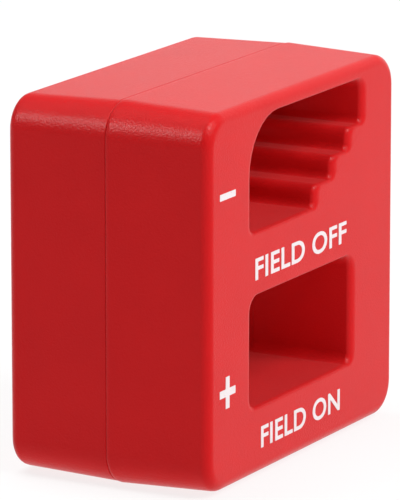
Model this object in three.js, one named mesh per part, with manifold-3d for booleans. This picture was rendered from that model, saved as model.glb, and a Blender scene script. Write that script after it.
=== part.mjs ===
// A watchmaker's demagnetizer: a small block with two windows right through it.
// The lower window magnetizes a tool, and the stepped upper window demagnetizes it.
// The block is two plastic half shells that trap two ferrite magnets in its thick webs.
// Nothing on it moves.  Millimetres, +Z up, +X along the width, front face towards -Y;
// the origin is the middle of the base, under the parting line of the two halves.

import * as THREE from 'three';
import { mergeVertices } from 'three/addons/utils/BufferGeometryUtils.js';
import Module from 'manifold-3d';

// Outside of the block.
const WIDTH = 53;
const HEIGHT = 50;
const HALF_DEPTH = 14.65;
const DRAFT = Math.tan(THREE.MathUtils.degToRad(2.05));
const CORNER_RADIUS = 4.8;
const FACE_FILLET = 1.35;
const SEAM_ROUND = 0.4;
const REAR_SETBACK = 0.1;

// Windows: both start at the same left wall, and the upper one climbs three steps.
const WINDOW_LEFT = -14.35;
const LOWER = { floor: 9.6, top: 24.15, right: 13.45, corner: 1.4, topCorner: 2.1 };
const UPPER = { floor: 32.65, top: 47.3, leadInCorner: 7.5, topCorner: 1.7 };
const RISERS = [2.85, 7.8, 12.3, 16.35];
const STEP_RISE = 2.95;
const STEP_NOSE = 1.3;
const STEP_FOOT = 1;

// The rounding of a window's mouth reaches further to the sides than up and down.
const MOUTH = { depth: 0.85, rise: 0.42, side: 1.3 };

// Moulded walls, and the tongue and groove that line the halves up.
const WALL = 2;
const TUNNEL_WALL = 1.4;
const BASE_FLOOR = 2.6;
const RIB = 1.2;
const TONGUE = { from: 0.75, to: 1.25, height: 0.8, root: 0.5 };
const GROOVE = { from: 0.6, to: 1.4, depth: 1 };

// Pins of the front half in the sockets of the rear half, as [x, z].
const PIN_PLACES = [[-20.3, 16.85], [-20.3, 40], [19.5, 16.85], [21, 41.5]];
const PIN = { radius: 1.1, length: 2.4 };
const SOCKET = { radius: 1.3, depth: 3 };
const BOSS_RADIUS = 2.4;
const ROUND_SIDES = 16;
const HOLD_DOWN_RIBS = [9, 17.5];

// Ferrite blocks, and the beds of hot-melt glue under them in the front half.
const MAGNET = { length: 40, depth: 25, height: 5, edge: 0.5 };
const MAGNET_CLEARANCE = 0.3;
const GLUE = { length: 30, depth: 9, height: 0.4, fromParting: 2 };

// Printed polarity marks on the front face.
const INK_THICKNESS = 0.05;
const MARK_X = -21.05;
const MARK_LENGTH = 4.15;
const MINUS = { z: 38.85, bar: 0.85 };
const PLUS = { z: 13.35, bar: 1 };

// How far a cut runs past a face, and how many steps a corner's arc is made of.
const OVERCUT = 1;
const COARSE = 5;
const FINE = 8;
const wasm = await Module();
wasm.setup();

// ---- outlines in the X-Z plane: right-angled corners [x, z, radius], anticlockwise ----

function rectangle(left, right, bottom, top, radius, topRadius = radius) {
  const lower = [[left, bottom, radius], [right, bottom, radius]];
  return [...lower, [right, top, topRadius], [left, top, topRadius]];
}

// A corner's point, the directions to its neighbours, and whether the outline bulges there.
function lookAt(corners, index) {
  const point = (i) => new THREE.Vector2(...corners.at(i % corners.length).slice(0, 2));
  const here = point(index);
  const back = point(index - 1).sub(here).normalize();
  const on = point(index + 1).sub(here).normalize();
  return { here, back, on, convex: back.cross(on) < 0 };
}

// The same corners moved outwards by `amount`, and in X by `sideways`, with radii to suit.
function grow(corners, amount, sideways = amount) {
  return corners.map((corner, index) => {
    const { here, back, on, convex } = lookAt(corners, index);
    const sign = convex ? -1 : 1;
    const { x, y } = back.add(on).multiplyScalar(sign);
    const radius = Math.max(corner[2] - sign * amount, 0.2);
    return [here.x + x * sideways, here.y + y * amount, radius];
  });
}

// Points along the outline, with `divisions` steps in each corner's arc.
function outline(corners, divisions) {
  return corners.flatMap((corner, index) => {
    const { here, back, on, convex } = lookAt(corners, index);
    const radius = corner[2];
    const centre = here.addScaledVector(back, radius).addScaledVector(on, radius);
    const from = Math.atan2(-on.y, -on.x);
    const to = Math.atan2(-back.y, -back.x);
    const arc = new THREE.EllipseCurve(centre.x, centre.y, radius, radius, from, to, !convex);
    return arc.getPoints(divisions);
  });
}

// ---- solids ----

function toSolid(geometry) {
  geometry.deleteAttribute('normal');
  geometry.deleteAttribute('uv');
  const merged = mergeVertices(geometry, 1e-5);
  const vertProperties = new Float32Array(merged.attributes.position.array);
  const triVerts = new Uint32Array(merged.index.array);
  return new wasm.Manifold(new wasm.Mesh({ numProp: 3, vertProperties, triVerts }));
}

// A solid along Y, from rings listed rear to front.  Each ring is the outline at
// its own y, grown by its own amount, and in X by its own `side` where it has one.
function ringSolid(corners, rings, divisions = COARSE) {
  const steps = rings.length - 1;
  const base = outline(corners, divisions);
  const settings = { depth: steps, steps, bevelEnabled: false };
  const geometry = new THREE.ExtrudeGeometry(new THREE.Shape(base), settings);
  const key = (x, y) => `${x.toFixed(3)},${y.toFixed(3)}`;
  const order = new Map(base.map((point, index) => [key(point.x, point.y), index]));
  const outlines = rings.map((ring) => outline(grow(corners, ring.grow, ring.side), divisions));
  const position = geometry.attributes.position;
  for (let i = 0; i < position.count; i += 1) {
    const ring = Math.round(position.getZ(i));
    const point = outlines[ring][order.get(key(position.getX(i), position.getY(i)))];
    position.setXYZ(i, point.x, rings[ring].y, point.y);
  }
  return toSolid(geometry);
}

// A straight prism of the outline between two values of y.
function prism(corners, rear, front, divisions = COARSE) {
  return ringSolid(corners, [{ y: rear, grow: 0 }, { y: front, grow: 0 }], divisions);
}

function rod([x, z], radius, rear, front) {
  const geometry = new THREE.CylinderGeometry(radius, radius, rear - front, ROUND_SIDES);
  return toSolid(geometry.translate(x, (rear + front) / 2, z));
}

function box([left, right], [front, rear], [bottom, top]) {
  const geometry = new THREE.BoxGeometry(right - left, rear - front, top - bottom);
  return toSolid(geometry.translate((left + right) / 2, (front + rear) / 2, (bottom + top) / 2));
}

const ascending = (a, b) => a - b;
const joined = (solids) => solids.reduce((whole, solid) => whole.add(solid));

function toMesh(name, solid, colour, roughness, metalness = 0) {
  const { vertProperties, triVerts } = solid.getMesh();
  const geometry = new THREE.BufferGeometry();
  geometry.setAttribute('position', new THREE.BufferAttribute(vertProperties, 3));
  geometry.setIndex(new THREE.BufferAttribute(triVerts, 1));
  geometry.computeVertexNormals();
  const material = new THREE.MeshStandardMaterial({ color: colour, roughness, metalness });
  const mesh = new THREE.Mesh(geometry, material);
  mesh.name = name;
  return mesh;
}

// ---- the block's outline and windows ----

const BLOCK = rectangle(-WIDTH / 2, WIDTH / 2, 0, HEIGHT, CORNER_RADIUS);
const LOWER_WINDOW = rectangle(
  WINDOW_LEFT, LOWER.right, LOWER.floor, LOWER.top, LOWER.corner, LOWER.topCorner,
);

// From the left wall along the floor, up the three steps, and back along the top.
function steppedWindow() {
  const stairs = RISERS.flatMap((x, step) => {
    const foot = UPPER.floor + step * STEP_RISE;
    const last = step === RISERS.length - 1;
    const head = last ? [x, UPPER.top, UPPER.topCorner] : [x, foot + STEP_RISE, STEP_NOSE];
    return [[x, foot, STEP_FOOT], head];
  });
  return [[WINDOW_LEFT, UPPER.floor, STEP_FOOT], ...stairs, [WINDOW_LEFT, UPPER.top, UPPER.leadInCorner]];
}

const WINDOWS = [LOWER_WINDOW, steppedWindow()];

// The glue beds lie on the floors of the two magnet pockets, and the magnets on the beds.
const POCKET_FLOORS = [BASE_FLOOR, LOWER.top + TUNNEL_WALL];
const MAGNET_FLOORS = POCKET_FLOORS.map((floor) => floor + GLUE.height);

// Rings of one half, listed outwards from the parting line: y is the distance from it,
// and `side` is -1 for the front half and 1 for the rear half.
function rings(side, list) {
  const placed = list.map((ring) => ({ ...ring, y: side * ring.y }));
  return side < 0 ? placed : placed.reverse();
}

// Sine and cosine of the angles that divide a quarter circle.
function quarterTurn(parts) {
  return Array.from({ length: parts + 1 }, (_, i) => {
    const angle = (i / parts) * (Math.PI / 2);
    return { sin: Math.sin(angle), cos: Math.cos(angle) };
  });
}

function outerBody(side) {
  const seam = side < 0
    ? quarterTurn(2).map(({ sin, cos }) => ({ y: SEAM_ROUND * (1 - cos), grow: -SEAM_ROUND * (1 - sin) }))
    : [{ y: 0, grow: -REAR_SETBACK }];
  const face = quarterTurn(5).map(({ sin, cos }) => {
    const y = HALF_DEPTH - FACE_FILLET * (1 - sin);
    return { y, grow: -y * DRAFT - FACE_FILLET * (1 - cos) };
  });
  return ringSolid(BLOCK, rings(side, [...seam, ...face]), FINE);
}

function windowCut(side, window) {
  const flare = quarterTurn(4).map(({ sin, cos }) => {
    const y = HALF_DEPTH - MOUTH.depth * (1 - sin);
    return { y, grow: MOUTH.rise * (1 - cos), side: MOUTH.side * (1 - cos) };
  });
  const beyond = { y: HALF_DEPTH + OVERCUT, grow: MOUTH.rise, side: MOUTH.side };
  return ringSolid(window, rings(side, [{ y: -OVERCUT, grow: 0 }, ...flare, beyond]));
}

// The hollow of one half: the inside of the outer wall, less what the mould leaves standing.
function hollow(side) {
  const depth = HALF_DEPTH - WALL;
  const cavity = ringSolid(BLOCK, rings(side, [
    { y: -OVERCUT, grow: -WALL },
    { y: 0, grow: -WALL },
    { y: depth, grow: -WALL - depth * DRAFT },
  ]), FINE);
  const open = [-side * OVERCUT, side * HALF_DEPTH].sort(ascending);
  const flush = [0, side * HALF_DEPTH].sort(ascending);
  const tunnels = WINDOWS.map((window) => prism(grow(window, TUNNEL_WALL), open[1], open[0]));
  const floor = box([-WIDTH / 2, WIDTH / 2], open, [0, BASE_FLOOR]);
  const bosses = PIN_PLACES.map((place) => rod(place, BOSS_RADIUS, flush[1], flush[0]));
  return cavity.subtract(joined([...tunnels, floor, ...bosses, ...endStops(flush), ...holdDowns(flush)]));
}

// Ribs between the side walls and the ends of the magnets.
function endStops(y) {
  const reach = MAGNET.length / 2 + MAGNET_CLEARANCE;
  return MAGNET_FLOORS.flatMap((bottom) => [-1, 1].map((end) => {
    const x = [end * reach, end * WIDTH / 2].sort(ascending);
    const middle = bottom + MAGNET.height / 2;
    return box(x, y, [middle - RIB / 2, middle + RIB / 2]);
  }));
}

// Ribs under the stairs that keep the middle magnet down.
function holdDowns(y) {
  const z = [UPPER.floor - TUNNEL_WALL, UPPER.floor + 3 * STEP_RISE];
  return HOLD_DOWN_RIBS.map((x) => box([x - RIB / 2, x + RIB / 2], y, z));
}

// A band that follows the parting edge, between two distances in from the outside.
function edgeBand({ from, to }, rear, front) {
  const inside = prism(grow(BLOCK, -to), rear + OVERCUT, front - OVERCUT, FINE);
  return prism(grow(BLOCK, -from), rear, front, FINE).subtract(inside);
}

function frontShell() {
  const shell = outerBody(-1)
    .subtract(hollow(-1))
    .subtract(joined(WINDOWS.map((window) => windowCut(-1, window))))
    .subtract(edgeBand(GROOVE, OVERCUT, -GROOVE.depth));
  const pins = PIN_PLACES.map((place) => rod(place, PIN.radius, PIN.length, -OVERCUT));
  return shell.add(joined(pins));
}

function rearShell() {
  const sockets = PIN_PLACES.map((place) => rod(place, SOCKET.radius, SOCKET.depth, -OVERCUT));
  return outerBody(1)
    .subtract(hollow(1))
    .subtract(joined(WINDOWS.map((window) => windowCut(1, window))))
    .subtract(joined(sockets))
    .add(edgeBand(TONGUE, TONGUE.root, -TONGUE.height));
}

// ---- what the shells hold ----

function magnet(bottom) {
  const half = MAGNET.length / 2;
  const reach = MAGNET.depth / 2;
  const faces = rectangle(-half, half, bottom, bottom + MAGNET.height, MAGNET.edge);
  return ringSolid(faces, [
    { y: reach, grow: -MAGNET.edge / 2 },
    { y: reach - MAGNET.edge / 2, grow: 0 },
    { y: MAGNET.edge / 2 - reach, grow: 0 },
    { y: -reach, grow: -MAGNET.edge / 2 },
  ]);
}

function glueBed(bottom) {
  const y = [-GLUE.fromParting - GLUE.depth, -GLUE.fromParting];
  return box([-GLUE.length / 2, GLUE.length / 2], y, [bottom, bottom + GLUE.height]);
}

function inkBar(z, length, height) {
  const x = [MARK_X - length / 2, MARK_X + length / 2];
  return box(x, [-HALF_DEPTH - INK_THICKNESS, -HALF_DEPTH], [z - height / 2, z + height / 2]);
}

const RED_PLASTIC = 0xcf1a20;
const FERRITE = 0x38383a;
const GLUE_COLOUR = 0xe6dfc6;
const WHITE_INK = 0xf4f1ee;

const demagnetizer = new THREE.Group();
demagnetizer.add(
  toMesh('front_shell', frontShell(), RED_PLASTIC, 0.4),
  toMesh('rear_shell', rearShell(), RED_PLASTIC, 0.4),
  toMesh('base_magnet', magnet(MAGNET_FLOORS[0]), FERRITE, 0.6),
  toMesh('middle_magnet', magnet(MAGNET_FLOORS[1]), FERRITE, 0.6),
  toMesh('base_glue_bed', glueBed(POCKET_FLOORS[0]), GLUE_COLOUR, 0.5),
  toMesh('middle_glue_bed', glueBed(POCKET_FLOORS[1]), GLUE_COLOUR, 0.5),
  toMesh('minus_mark', inkBar(MINUS.z, MARK_LENGTH, MINUS.bar), WHITE_INK, 0.6),
  toMesh('plus_mark', inkBar(PLUS.z, MARK_LENGTH, PLUS.bar)
    .add(inkBar(PLUS.z, PLUS.bar, MARK_LENGTH)), WHITE_INK, 0.6),
);

export default demagnetizer;
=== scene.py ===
"""A watchmaker's demagnetizer: a red plastic block, moulded in two halves round two magnets."""

from math import cos, pi, radians, sin, tan

import bmesh
import bpy
from mathutils import Matrix, Vector


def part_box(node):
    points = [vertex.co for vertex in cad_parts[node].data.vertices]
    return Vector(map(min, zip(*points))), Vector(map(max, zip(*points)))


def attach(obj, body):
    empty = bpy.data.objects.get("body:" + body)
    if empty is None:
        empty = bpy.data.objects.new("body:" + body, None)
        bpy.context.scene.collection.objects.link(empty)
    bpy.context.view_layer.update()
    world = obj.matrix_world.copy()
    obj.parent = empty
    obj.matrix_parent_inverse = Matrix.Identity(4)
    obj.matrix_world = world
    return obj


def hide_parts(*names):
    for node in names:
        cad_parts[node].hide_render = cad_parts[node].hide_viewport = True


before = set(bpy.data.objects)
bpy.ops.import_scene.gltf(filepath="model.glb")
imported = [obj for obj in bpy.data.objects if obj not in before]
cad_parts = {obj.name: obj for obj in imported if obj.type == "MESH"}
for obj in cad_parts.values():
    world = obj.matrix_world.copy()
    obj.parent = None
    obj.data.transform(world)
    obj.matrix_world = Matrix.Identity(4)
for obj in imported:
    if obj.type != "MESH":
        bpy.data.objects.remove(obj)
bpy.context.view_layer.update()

# ---------------------------------------------------------------------------------------
# Camera.  A long lens from well back, to the left of the printed face and a little above
# it, so that verticals stay upright and the depth of the block is hardly foreshortened.
# ---------------------------------------------------------------------------------------

MM = 0.001
scene = bpy.context.scene

LENS = 376.76
VIEW_AZIMUTH = radians(-61.49)
VIEW_ELEVATION = radians(12.905)
VIEW_DISTANCE = 684.5 * MM
VIEW_AIM = Vector((-0.115, 0.668, 25.95)) * MM

camera_data = bpy.data.cameras.new("product_camera")
camera_data.lens = LENS
camera_data.clip_start = 0.01
camera_data.clip_end = 50
camera = bpy.data.objects.new("product_camera", camera_data)
scene.collection.objects.link(camera)
towards_camera = Vector((
    sin(VIEW_AZIMUTH) * cos(VIEW_ELEVATION),
    -cos(VIEW_AZIMUTH) * cos(VIEW_ELEVATION),
    sin(VIEW_ELEVATION),
))
camera.location = VIEW_AIM + VIEW_DISTANCE * towards_camera
camera.rotation_euler = towards_camera.to_track_quat("Z", "Y").to_euler()
scene.camera = camera

# ---------------------------------------------------------------------------------------
# Half shells.  Two red ABS halves, injection moulded in a spark-eroded tool and cemented
# together at the parting line.  Every outside edge is rounded, every outside wall has
# draft, and both windows run straight through.  The lips meet in a fine groove.
# ---------------------------------------------------------------------------------------

front_low, front_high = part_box("front_shell")
HALF_WIDTH = (front_high.x - front_low.x) / 2
HEIGHT = front_high.z
HALF_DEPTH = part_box("rear_shell")[1].y
DRAFT = tan(radians(2.05))
CORNER_RADIUS = 4.8 * MM
FACE_FILLET = 1.35 * MM
FRONT_LIP = {"width": 0.65 * MM, "drop": 0.22 * MM, "setback": 0.0}
REAR_LIP = {"width": 0.16 * MM, "drop": 0.14 * MM, "setback": 0.1 * MM}

# Windows, as right-angled corners (x, z, radius), going round anticlockwise.
WINDOW_LEFT = -14.35 * MM
LOWER_FLOOR, LOWER_TOP, LOWER_RIGHT = 9.6 * MM, 24.15 * MM, 13.45 * MM
LOWER_CORNER, LOWER_TOP_CORNER = 1.4 * MM, 2.1 * MM
UPPER_FLOOR, UPPER_TOP = 32.65 * MM, 47.3 * MM
RISERS = (2.85 * MM, 7.8 * MM, 12.3 * MM, 16.35 * MM)
STEP_RISE = 2.95 * MM
STEP_FOOT, STEP_NOSE = 1 * MM, 1.3 * MM
LEAD_IN_CORNER, TOP_CORNER = 7.5 * MM, 1.7 * MM
MOUTH_DEPTH, MOUTH_RISE, MOUTH_SIDE = 0.85 * MM, 0.42 * MM, 1.3 * MM
WINDOW_DRAFT = 0.05 * MM
PARTING_EDGE = 0.1 * MM
SPREAD_FROM = -5 * MM


def rectangle(left, right, bottom, top, radius, top_radius):
    return [(left, bottom, radius), (right, bottom, radius),
            (right, top, top_radius), (left, top, top_radius)]


def stepped_window():
    corners = [(WINDOW_LEFT, UPPER_FLOOR, STEP_FOOT)]
    for step, riser in enumerate(RISERS):
        foot = UPPER_FLOOR + step * STEP_RISE
        corners.append((riser, foot, STEP_FOOT))
        corners.append((riser, foot + STEP_RISE, STEP_NOSE))
    corners[-1] = (RISERS[-1], UPPER_TOP, TOP_CORNER)
    return corners + [(WINDOW_LEFT, UPPER_TOP, LEAD_IN_CORNER)]


BLOCK = rectangle(-HALF_WIDTH, HALF_WIDTH, 0, HEIGHT, CORNER_RADIUS, CORNER_RADIUS)
LOWER_WINDOW = rectangle(
    WINDOW_LEFT, LOWER_RIGHT, LOWER_FLOOR, LOWER_TOP, LOWER_CORNER, LOWER_TOP_CORNER,
)
WINDOWS = (LOWER_WINDOW, stepped_window())


def rounded_face(bm, corners, y=0.0, segments=8):
    """One flat face that looks towards -Y, with its corners rounded."""
    verts = [bm.verts.new((x, y, z)) for x, z, _ in corners]
    bm.faces.new(verts)
    for radius in sorted({radius for _, _, radius in corners}):
        alike = [vert for vert, corner in zip(verts, corners) if corner[2] == radius]
        made = bmesh.ops.bevel(bm, geom=alike, offset=radius, offset_type="OFFSET",
                               segments=segments, profile=0.5, affect="VERTICES", material=-1)
    return made["verts"][0].link_faces[0]


def draw_out(bm, face, profile):
    """Draws a face out through (inwards, forwards, spread) stations, leaving a wall behind it.
    Spread moves its left and right ends apart as well."""
    here = (0.0, 0.0, 0.0)
    for station in profile:
        inwards, forwards, spread = (new - old for new, old in zip(station, here))
        bmesh.ops.inset_region(bm, faces=[face], use_boundary=True, use_even_offset=True,
                               thickness=inwards, depth=forwards)
        if spread:
            for end in (-1, 1):
                verts = [vert for vert in face.verts if end * (vert.co.x - SPREAD_FROM) > 0]
                bmesh.ops.translate(bm, verts=verts, vec=(end * spread, 0, 0))
        here = station


def quarter_turn(parts):
    """Sine and cosine of the angles that divide a quarter circle, without the first."""
    return [(sin(i / parts * pi / 2), cos(i / parts * pi / 2)) for i in range(1, parts + 1)]


def outside_profile(lip):
    """From the parting line, over its rounded lip, along the draft and round the face."""
    profile = [(-lip["drop"] * s, lip["width"] * (1 - c), 0) for s, c in quarter_turn(5)]
    wall_end = HALF_DEPTH - FACE_FILLET
    wall_in = wall_end * DRAFT - lip["drop"] - lip["setback"]
    profile.append((wall_in, wall_end, 0))
    for s, c in quarter_turn(8):
        profile.append((wall_in + FACE_FILLET * (1 - c + s * DRAFT), wall_end + FACE_FILLET * s, 0))
    return profile


def window_profile():
    """Outwards over the tiny edge at the parting line, along the tunnel and round its mouth."""
    profile = [(PARTING_EDGE * s, PARTING_EDGE * (1 - c), 0) for s, c in quarter_turn(2)]
    mouth, tunnel_end = PARTING_EDGE - WINDOW_DRAFT, HALF_DEPTH - MOUTH_DEPTH
    profile.append((mouth, tunnel_end, 0))
    for s, c in quarter_turn(6):
        flare = 1 - c
        profile.append((mouth - MOUTH_RISE * flare, tunnel_end + MOUTH_DEPTH * s,
                        (MOUTH_SIDE - MOUTH_RISE) * flare))
    return profile


def grown(corners, amount):
    """The same corners moved outwards, with their radii changed to suit."""
    moved = []
    for i, (x, z, radius) in enumerate(corners):
        here = Vector((x, z))
        back = (Vector(corners[i - 1][:2]) - here).normalized()
        on = (Vector(corners[(i + 1) % len(corners)][:2]) - here).normalized()
        step = -amount if back.cross(on) < 0 else amount
        here += step * (back + on)
        moved.append((here.x, here.y, max(radius - step, 0.2 * MM)))
    return moved


def outer_skin(lip):
    """The block's half as one closed solid, still solid inside, in front of the parting line."""
    bm = bmesh.new()
    block = rounded_face(bm, grown(BLOCK, -lip["drop"] - lip["setback"]), segments=10)
    draw_out(bm, block, outside_profile(lip))
    faces = [block]
    for window in WINDOWS:
        tunnel = rounded_face(bm, grown(window, PARTING_EDGE))
        draw_out(bm, tunnel, window_profile())
        faces.append(tunnel)
    rim = [edge for face in faces for edge in face.edges]
    bmesh.ops.delete(bm, geom=faces, context="FACES_ONLY")
    bmesh.ops.triangle_fill(bm, edges=rim, use_beauty=True)
    bmesh.ops.triangle_fill(bm, edges=[e for e in bm.edges if e.is_boundary], use_beauty=True)
    bmesh.ops.recalc_face_normals(bm, faces=bm.faces)
    return bm


def make_piece(name, bm):
    mesh = bpy.data.meshes.new(name)
    bm.to_mesh(mesh)
    bm.free()
    piece = bpy.data.objects.new(name, mesh)
    scene.collection.objects.link(piece)
    return piece


def smooth_by_angle(piece, degrees=34):
    piece.data.shade_smooth()
    piece.data.set_sharp_from_angle(angle=radians(degrees))
    weighted = piece.modifiers.new("weighted_normals", "WEIGHTED_NORMAL")
    weighted.keep_sharp = True
    weighted.weight = 100


def node(tree, kind, inputs=None, **settings):
    """Adds a node; an input is a value or the output socket that feeds it."""
    made = tree.nodes.new(kind)
    for name, value in settings.items():
        setattr(made, name, value)
    for name, value in (inputs or {}).items():
        if isinstance(value, bpy.types.NodeSocket):
            tree.links.new(value, made.inputs[name])
        else:
            made.inputs[name].default_value = value
    return made


def colour(code):
    """Linear RGBA of an sRGB hex colour."""
    channels = [int(code[i:i + 2], 16) / 255 for i in (0, 2, 4)]
    linear = [c / 12.92 if c <= 0.04045 else ((c + 0.055) / 1.055) ** 2.4 for c in channels]
    return (*linear, 1.0)


def new_material(name):
    material = bpy.data.materials.new(name)
    material.use_nodes = True
    tree = material.node_tree
    tree.nodes.clear()
    return material, tree


PIGMENT = ("D6171A", "CD1418")
MOTTLE_SIZE = 7 * MM
GRAIN_SIZE = 0.24 * MM


def moulded_abs():
    """Red ABS from a spark-eroded tool: an even satin with a fine grain that sparkles where
    the light glances off it, and hardly any change of colour.  The grain is drawn coarser
    than spark erosion leaves it, so that it shows.  The IOR is set far below
    that of real ABS, because 1.54 turns the faces whitish in this pale studio."""
    material, tree = new_material("spark_eroded_red_abs")
    place = node(tree, "ShaderNodeTexCoord").outputs["Object"]
    mottle = node(tree, "ShaderNodeTexNoise", {
        "Vector": place, "Scale": 1 / MOTTLE_SIZE, "Detail": 3.0,
    })
    grain = node(tree, "ShaderNodeTexNoise", {
        "Vector": place, "Scale": 1 / GRAIN_SIZE, "Detail": 2.0,
    })
    red = node(tree, "ShaderNodeMix", {
        "Factor": mottle.outputs["Fac"], "A": colour(PIGMENT[0]), "B": colour(PIGMENT[1]),
    }, data_type="RGBA")
    satin = node(tree, "ShaderNodeMapRange", {
        "Value": grain.outputs["Fac"], "To Min": 0.26, "To Max": 0.4,
    })
    relief = node(tree, "ShaderNodeBump", {
        "Height": grain.outputs["Fac"], "Strength": 0.9, "Distance": 0.06 * MM,
    })
    plastic = node(tree, "ShaderNodeBsdfPrincipled", {
        "Base Color": red.outputs["Result"],
        "Roughness": satin.outputs["Result"],
        "Normal": relief.outputs["Normal"],
        "IOR": 1.18,
        "Sheen Weight": 0.14,
        "Sheen Roughness": 0.4,
    })
    node(tree, "ShaderNodeOutputMaterial", {"Surface": plastic.outputs["BSDF"]})
    return material


WALL, TUNNEL_WALL, BASE_FLOOR, RIB = 2 * MM, 1.4 * MM, 2.6 * MM, 1.2 * MM
PIN_PLACES = ((-20.3, 16.85), (-20.3, 40), (19.5, 16.85), (21, 41.5))
BOSS_RADIUS = 2.4 * MM
PIN_RADIUS, PIN_LENGTH, PIN_BEVEL = 1.1 * MM, 2.4 * MM, 0.2 * MM
SOCKET_RADIUS, SOCKET_DEPTH = 1.3 * MM, 3 * MM
GROOVE_FROM, GROOVE_TO, GROOVE_DEPTH = 0.6 * MM, 1.4 * MM, 1 * MM
TONGUE_FROM, TONGUE_TO, TONGUE_HEIGHT = 0.75 * MM, 1.25 * MM, 0.8 * MM
HOLD_DOWN_RIBS = (9 * MM, 17.5 * MM)
MAGNETS = ("base_magnet", "middle_magnet")
MAGNET_CLEARANCE = 0.3 * MM
OVERCUT = 1 * MM


def drawn_solid(name, corners, start, length, inwards=0.0):
    """A closed solid from y = start towards the front, narrowing by inwards on each side."""
    bm = bmesh.new()
    face = rounded_face(bm, corners, y=start, segments=6)
    draw_out(bm, face, [(inwards, length, 0)])
    bmesh.ops.holes_fill(bm, edges=[edge for edge in bm.edges if edge.is_boundary], sides=0)
    bmesh.ops.recalc_face_normals(bm, faces=bm.faces)
    return make_piece(name, bm)


def slab(name, x, y, z):
    """A plain block between two values of each axis."""
    bm = bmesh.new()
    bmesh.ops.create_cube(bm, size=1)
    bmesh.ops.scale(bm, vec=(x[1] - x[0], y[1] - y[0], z[1] - z[0]), verts=bm.verts)
    bmesh.ops.translate(bm, vec=(sum(x) / 2, sum(y) / 2, sum(z) / 2), verts=bm.verts)
    return make_piece(name, bm)


def rod(name, place, radius, start, end):
    """A round rod along Y at (x, z) millimetres, its free end slightly bevelled."""
    bm = bmesh.new()
    bmesh.ops.create_cone(bm, segments=24, radius1=radius, radius2=radius, depth=end - start,
                          cap_ends=True, matrix=Matrix.Rotation(pi / 2, 4, "X"))
    bmesh.ops.translate(bm, vec=(place[0] * MM, (start + end) / 2, place[1] * MM), verts=bm.verts)
    tip = [edge for edge in bm.edges if all(vert.co.y > end - 0.01 * MM for vert in edge.verts)]
    bmesh.ops.bevel(bm, geom=tip, offset=PIN_BEVEL, segments=2, profile=0.5, affect="EDGES",
                    material=-1)
    return make_piece(name, bm)


def carve(piece, solids, operation):
    """Cuts solids out of a piece, or joins them to it, and discards them."""
    for solid in solids:
        step = piece.modifiers.new("carve", "BOOLEAN")
        step.operation, step.solver, step.object = operation, "EXACT", solid
    finished = piece.evaluated_get(bpy.context.evaluated_depsgraph_get())
    piece.data = bpy.data.meshes.new_from_object(finished)
    piece.modifiers.clear()
    for solid in solids:
        bpy.data.objects.remove(solid)
    return piece


def hollow():
    """The space inside the front half, less the tunnels, base, bosses and ribs that stand."""
    depth = HALF_DEPTH - WALL
    inside = drawn_solid("hollow", grown(BLOCK, -WALL), OVERCUT, OVERCUT + depth, depth * DRAFT)
    full, open_end = (-HALF_DEPTH, 2 * OVERCUT), (-HALF_DEPTH, 0)
    tunnel_length = 2 * OVERCUT + HALF_DEPTH
    standing = [drawn_solid("tunnel", grown(window, TUNNEL_WALL), 2 * OVERCUT, tunnel_length)
                for window in WINDOWS]
    standing.append(slab("base", (-HALF_WIDTH, HALF_WIDTH), full, (-OVERCUT, BASE_FLOOR)))
    for place in PIN_PLACES:
        standing.append(rod("boss", place, BOSS_RADIUS, *open_end))
    for magnet in MAGNETS:
        low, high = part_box(magnet)
        middle = (low.z + high.z) / 2
        reach = high.x + MAGNET_CLEARANCE
        for x in ((-HALF_WIDTH, -reach), (reach, HALF_WIDTH)):
            standing.append(slab("end_stop", x, open_end, (middle - RIB / 2, middle + RIB / 2)))
    for x in HOLD_DOWN_RIBS:
        stair_height = (UPPER_FLOOR - TUNNEL_WALL, UPPER_FLOOR + 3 * STEP_RISE)
        standing.append(slab("hold_down", (x - RIB / 2, x + RIB / 2), open_end, stair_height))
    return carve(inside, standing, "DIFFERENCE")


def edge_band(start, length, outer, inner):
    """A band that follows the parting edge, between two distances in from the outside."""
    band = drawn_solid("band", grown(BLOCK, -outer), start, length)
    core = drawn_solid("core", grown(BLOCK, -inner), start + OVERCUT, length + 2 * OVERCUT)
    return carve(band, [core], "DIFFERENCE")


def finish_shell(shell, node_name):
    smooth_by_angle(shell)
    shell.data.materials.clear()
    shell.data.materials.append(red_abs)
    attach(shell, "root")
    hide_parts(node_name)


red_abs = moulded_abs()

front_half = make_piece("front_shell_moulding", outer_skin(FRONT_LIP))
groove = edge_band(OVERCUT, OVERCUT + GROOVE_DEPTH, GROOVE_FROM, GROOVE_TO)
carve(front_half, [hollow(), groove], "DIFFERENCE")
pins = [rod("pin", place, PIN_RADIUS, -OVERCUT, PIN_LENGTH) for place in PIN_PLACES]
carve(front_half, pins, "UNION")
finish_shell(front_half, "front_shell")

# The rear half is made facing forwards too, and turned round at the end.
rear_half = make_piece("rear_shell_moulding", outer_skin(REAR_LIP))
sockets = [rod("socket", place, SOCKET_RADIUS, -SOCKET_DEPTH, OVERCUT) for place in PIN_PLACES]
carve(rear_half, [hollow(), *sockets], "DIFFERENCE")
tongue = edge_band(TONGUE_HEIGHT, TONGUE_HEIGHT + OVERCUT / 2, TONGUE_FROM, TONGUE_TO)
carve(rear_half, [tongue], "UNION")
bm = bmesh.new()
bm.from_mesh(rear_half.data)
bmesh.ops.scale(bm, vec=(1, -1, 1), verts=bm.verts)
bmesh.ops.reverse_faces(bm, faces=bm.faces)
bm.to_mesh(rear_half.data)
bm.free()
finish_shell(rear_half, "rear_shell")

# ---------------------------------------------------------------------------------------
# Magnets.  Two plain blocks of sintered ferrite, ground flat.  They lie in the thick webs
# under the windows, held by ribs and by the glue under them.
# ---------------------------------------------------------------------------------------

GRINDING_PITCH = 0.25 * MM
PORE_SIZE = 0.5 * MM


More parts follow.
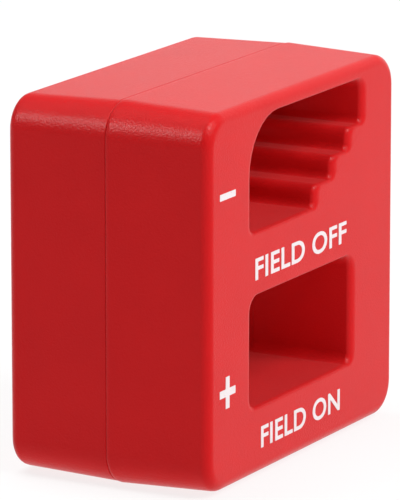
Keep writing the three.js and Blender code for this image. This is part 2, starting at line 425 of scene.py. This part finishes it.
def sintered_ferrite():
    """Ground ceramic magnet: nearly black, dull, with straight grinding marks and fine pores, which
    hold painted shade.
    """
    material, tree = new_material("ground_sintered_ferrite")
    place = node(tree, "ShaderNodeTexCoord").outputs["Object"]
    along = node(tree, "ShaderNodeMapping", {
        "Vector": place, "Scale": (0.04, 1, 1),
    }).outputs["Vector"]
    marks = node(tree, "ShaderNodeTexNoise", {
        "Vector": along, "Scale": 1 / GRINDING_PITCH, "Detail": 2.0,
    })
    pores = node(tree, "ShaderNodeTexVoronoi", {"Vector": place, "Scale": 1 / PORE_SIZE})
    pitted = node(tree, "ShaderNodeMapRange", {
        "Value": pores.outputs["Distance"], "From Min": 0.05, "From Max": 0.2,
    }).outputs["Result"]
    grey = node(tree, "ShaderNodeMix", {
        "Factor": marks.outputs["Fac"], "A": colour("2B2B2D"), "B": colour("47474A"),
    }, data_type="RGBA").outputs["Result"]
    # Painted shade: the pores are drawn darker, as the shade that falls in them.
    grey_with_painted_pore_shade = node(tree, "ShaderNodeMix", {
        "Factor": pitted, "A": colour("19191A"), "B": grey,
    }, data_type="RGBA").outputs["Result"]
    dullness = node(tree, "ShaderNodeMapRange", {
        "Value": marks.outputs["Fac"], "To Min": 0.45, "To Max": 0.7,
    }).outputs["Result"]
    height = node(tree, "ShaderNodeMath", {
        0: marks.outputs["Fac"], 1: pitted,
    }, operation="ADD").outputs[0]
    relief = node(tree, "ShaderNodeBump", {
        "Height": height, "Strength": 0.5, "Distance": 0.02 * MM,
    })
    ferrite = node(tree, "ShaderNodeBsdfPrincipled", {
        "Base Color": grey_with_painted_pore_shade,
        "Roughness": dullness,
        "Normal": relief.outputs["Normal"],
        "IOR": 2.0,
    })
    node(tree, "ShaderNodeOutputMaterial", {"Surface": ferrite.outputs["BSDF"]})
    return material


ferrite = sintered_ferrite()
for magnet in MAGNETS:
    bpy.data.objects[magnet].material_slots[0].material = ferrite

# ---------------------------------------------------------------------------------------
# Glue beds.  Hot-melt glue, run into the front half's pockets and pressed into flat pads
# by the magnets.
# ---------------------------------------------------------------------------------------

PAD_CORNER = 3.6 * MM
PAD_EDGE = 0.16 * MM
CLOUD_SIZE = 3 * MM


def hot_melt_glue():
    """Cooled hot-melt glue: milky, slightly amber and waxy, cloudier where it was worked."""
    material, tree = new_material("milky_hot_melt_glue")
    place = node(tree, "ShaderNodeTexCoord").outputs["Object"]
    cloud = node(tree, "ShaderNodeTexNoise", {
        "Vector": place, "Scale": 1 / CLOUD_SIZE, "Detail": 4.0,
    }).outputs["Fac"]
    milk = node(tree, "ShaderNodeMix", {
        "Factor": cloud, "A": colour("D9CFAE"), "B": colour("EFE9D8"),
    }, data_type="RGBA").outputs["Result"]
    wax = node(tree, "ShaderNodeMapRange", {
        "Value": cloud, "To Min": 0.25, "To Max": 0.5,
    }).outputs["Result"]
    relief = node(tree, "ShaderNodeBump", {
        "Height": cloud, "Strength": 0.4, "Distance": 0.1 * MM,
    })
    glue = node(tree, "ShaderNodeBsdfPrincipled", {
        "Base Color": milk,
        "Roughness": wax,
        "Normal": relief.outputs["Normal"],
        "Subsurface Weight": 0.4,
        "Subsurface Scale": 1 * MM,
        "IOR": 1.49,
    })
    node(tree, "ShaderNodeOutputMaterial", {"Surface": glue.outputs["BSDF"]})
    return material


def climb(edge):
    """How far an edge rises."""
    return abs(edge.verts[0].co.z - edge.verts[1].co.z)


def pressed_pad(name, low, high):
    """A flat pad that fills its box, with round corners and a bulging edge."""
    pad = slab(name, (low.x, high.x), (low.y, high.y), (low.z, high.z))
    bm = bmesh.new()
    bm.from_mesh(pad.data)
    upright = [edge for edge in bm.edges if climb(edge) > 0.1 * MM]
    bmesh.ops.bevel(bm, geom=upright, offset=PAD_CORNER, segments=10, profile=0.5, affect="EDGES",
                    material=-1)
    rims = [edge for edge in bm.edges if climb(edge) < 0.1 * MM]
    bmesh.ops.bevel(bm, geom=rims, offset=PAD_EDGE, segments=4, profile=0.5, affect="EDGES",
                    material=-1)
    bm.to_mesh(pad.data)
    bm.free()
    return pad


glue = hot_melt_glue()
for bed in ("base_glue_bed", "middle_glue_bed"):
    pad = pressed_pad(bed + "_pad", *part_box(bed))
    smooth_by_angle(pad)
    pad.data.materials.append(glue)
    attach(pad, "root")
    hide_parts(bed)

# ---------------------------------------------------------------------------------------
# Printing.  White ink, pad printed on the front face: a minus and a plus sign beside the
# windows, and a plain generic legend under each window.
# ---------------------------------------------------------------------------------------

INK_THICKNESS = 0.05 * MM

# Words, width, and the heights of their foot and head.
LEGENDS = {
    "upper_legend": ("FIELD OFF", 25.5 * MM, 26.3 * MM, 29.2 * MM),
    "lower_legend": ("FIELD ON", 22.2 * MM, 3.9 * MM, 6.8 * MM),
}
LEGEND_MIDDLE = -0.85 * MM
STROKE_BOLDNESS, LETTER_SPACING = 0.018, 1.06
PINHOLE_SIZE = 0.35 * MM


def pad_print_ink():
    """Pad-printed ink: a thin, slightly uneven white that takes the grain of the plastic,
    with a few pinholes where the red shows."""
    material, tree = new_material("white_pad_print_ink")
    place = node(tree, "ShaderNodeTexCoord").outputs["Object"]
    speck = node(tree, "ShaderNodeTexNoise", {
        "Vector": place, "Scale": 1 / PINHOLE_SIZE, "Detail": 3.0,
    }).outputs["Fac"]
    grain = node(tree, "ShaderNodeTexNoise", {
        "Vector": place, "Scale": 1 / GRAIN_SIZE, "Detail": 2.0,
    }).outputs["Fac"]
    pinhole = node(tree, "ShaderNodeMapRange", {
        "Value": speck, "From Min": 0.68, "From Max": 0.76,
    }).outputs["Result"]
    film = node(tree, "ShaderNodeMix", {
        "Factor": grain, "A": colour("E4D8DA"), "B": colour("F3E9EB"),
    }, data_type="RGBA").outputs["Result"]
    printed = node(tree, "ShaderNodeMix", {
        "Factor": pinhole, "A": film, "B": colour("E58A88"),
    }, data_type="RGBA").outputs["Result"]
    satin = node(tree, "ShaderNodeMapRange", {
        "Value": grain, "To Min": 0.4, "To Max": 0.6,
    }).outputs["Result"]
    relief = node(tree, "ShaderNodeBump", {
        "Height": grain, "Strength": 0.3, "Distance": 0.02 * MM,
    })
    ink = node(tree, "ShaderNodeBsdfPrincipled", {
        "Base Color": printed,
        "Roughness": satin,
        "Normal": relief.outputs["Normal"],
        "IOR": 1.5,
    })
    node(tree, "ShaderNodeOutputMaterial", {"Surface": ink.outputs["BSDF"]})
    return material


def printed_legend(name, words, width, bottom, top):
    """Plain bold capitals, fitted to a width and a height on the front face."""
    curve = bpy.data.curves.new(name, "FONT")
    curve.body = words
    curve.offset = STROKE_BOLDNESS
    curve.space_character = LETTER_SPACING
    curve.extrude = 0.5
    drawn = bpy.data.objects.new(name, curve)
    scene.collection.objects.link(drawn)
    flat = drawn.evaluated_get(bpy.context.evaluated_depsgraph_get())
    bm = bmesh.new()
    bm.from_mesh(bpy.data.meshes.new_from_object(flat))
    bpy.data.objects.remove(drawn)
    bmesh.ops.remove_doubles(bm, verts=bm.verts, dist=1e-5)
    xs, ys = [vert.co.x for vert in bm.verts], [vert.co.y for vert in bm.verts]
    middle = ((min(xs) + max(xs)) / 2, min(ys), 0.5)
    bmesh.ops.translate(bm, vec=[-value for value in middle], verts=bm.verts)
    size = (width / (max(xs) - min(xs)), (top - bottom) / (max(ys) - min(ys)), INK_THICKNESS)
    bmesh.ops.scale(bm, vec=size, verts=bm.verts)
    bmesh.ops.rotate(bm, matrix=Matrix.Rotation(pi / 2, 3, "X"), verts=bm.verts)
    place = (LEGEND_MIDDLE, -HALF_DEPTH - INK_THICKNESS, bottom)
    bmesh.ops.translate(bm, vec=place, verts=bm.verts)
    bmesh.ops.recalc_face_normals(bm, faces=bm.faces)
    return make_piece(name, bm)


ink = pad_print_ink()
for mark in ("minus_mark", "plus_mark"):
    bpy.data.objects[mark].material_slots[0].material = ink
for name, (words, width, bottom, top) in LEGENDS.items():
    legend = printed_legend(name, words, width, bottom, top)
    legend.data.materials.append(ink)
    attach(legend, "root")

# ---------------------------------------------------------------------------------------
# Studio.  A pale floor that glows a little, so that it stays white, softboxes above, in
# front and to the right, and two small lights that only show as glints.
# ---------------------------------------------------------------------------------------

FLOOR_SIZE = 6.0
FLOOR_GAP = 0.0001 * MM


def pale_floor():
    material, tree = new_material("pale_studio_floor")
    plain = node(tree, "ShaderNodeBsdfPrincipled", {
        "Base Color": (0.18, 0.18, 0.18, 1),
        "Roughness": 0.9,
        "Specular IOR Level": 0.0,
        "Emission Color": (1, 1, 1, 1),
        "Emission Strength": 0.82,
    })
    node(tree, "ShaderNodeOutputMaterial", {"Surface": plain.outputs["BSDF"]})
    return material


bm = bmesh.new()
bmesh.ops.create_grid(bm, x_segments=1, y_segments=1, size=FLOOR_SIZE / 2)
bmesh.ops.translate(bm, verts=bm.verts, vec=(0, 0, -FLOOR_GAP))
floor = make_piece("studio_floor", bm)
floor.data.materials.append(pale_floor())


def softbox(name, place, aim, width, watts, height=None):
    """A rectangular light that faces its aim; square unless a height is given."""
    data = bpy.data.lights.new(name, "AREA")
    data.shape = "RECTANGLE"
    data.size = width
    data.size_y = height or width
    data.energy = watts
    light = bpy.data.objects.new(name, data)
    light.location = place
    light.rotation_euler = (Vector(place) - Vector(aim)).to_track_quat("Z", "Y").to_euler()
    scene.collection.objects.link(light)
    return light


CENTRE = Vector((0, 0, 0.025))

# The top light is left out of reflections, which keeps the rounded top edges red.
top_light = softbox("top_softbox", (-0.04, 0.28, 0.8), CENTRE, 0.6, 5.4)
top_light.visible_glossy = False
softbox("front_softbox", (0.04, -0.58, 0.58), CENTRE, 0.6, 5.9)
softbox("side_softbox", (0.8, -0.05, 0.32), (0, -0.05, 0.2), 1.2, 2.2, 0.6)

# The glints are reflections only, along the top left rounding and on the front corner.
glints = (
    softbox("rim_softbox", (-0.62, 0.44, 0.57), CENTRE, 0.09, 8),
    softbox("corner_softbox", (-0.21, -0.38, 0.8), CENTRE, 0.08, 7),
)
for glint in glints:
    glint.visible_diffuse = False

world = bpy.data.worlds.new("studio_white")
scene.world = world
world.use_nodes = True
background = world.node_tree.nodes["Background"]
background.inputs["Color"].default_value = (1, 1, 1, 1)
background.inputs["Strength"].default_value = 0.08

scene.view_settings.view_transform = "Standard"
